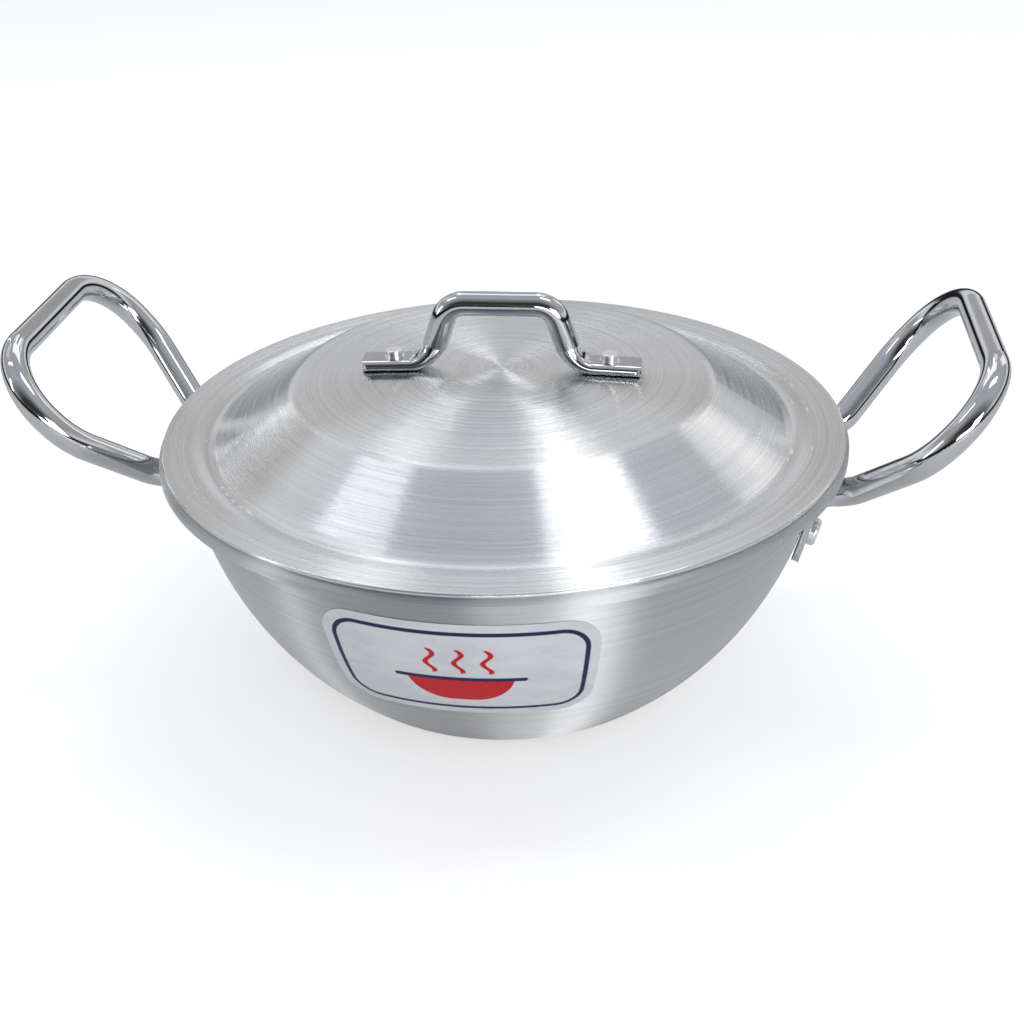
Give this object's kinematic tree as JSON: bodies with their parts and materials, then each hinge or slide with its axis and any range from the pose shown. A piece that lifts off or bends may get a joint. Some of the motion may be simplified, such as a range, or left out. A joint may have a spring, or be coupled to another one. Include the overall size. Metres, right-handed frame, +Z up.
{
  "type": "kadai",
  "caption": "Deep aluminium kadai with a flanged rim, a domed lift-off lid, looped tube side handles and a tube lid handle, all riveted on.",
  "frame": {"origin": "middle of the bowl's flat base, on the surface that it stands on", "axes": "+Z up the bowl's axis, +X towards the right side handle as pictured, +Y away from the viewer"},
  "size_m": [0.416, 0.301, 0.1737],
  "materials": {
    "bowl_aluminium": "satin, brushed in rings",
    "lid_aluminium": "satin, spun and brushed in rings",
    "polished_tube": "mirror polished",
    "rivet_aluminium": "satin",
    "label_vinyl": "silvery vinyl, printed in red and navy"
  },
  "bodies": {
    "pot": {"kadai_bowl": "bowl_aluminium", "side_handle_right": "polished_tube", "side_handle_left": "polished_tube", "handle_rivet_right_front": "rivet_aluminium", "handle_rivet_right_rear": "rivet_aluminium", "handle_rivet_left_front": "rivet_aluminium", "handle_rivet_left_rear": "rivet_aluminium"},
    "lid": {"lid": "lid_aluminium", "lid_handle": "polished_tube", "lid_rivet_right": "rivet_aluminium", "lid_rivet_left": "rivet_aluminium"}
  },
  "joints": [
    {"name": "lid_lift", "type": "slide", "parent": "pot", "child": "lid", "axis": [0, 0, 1], "range_m": [0, 0.15]}
  ]
}
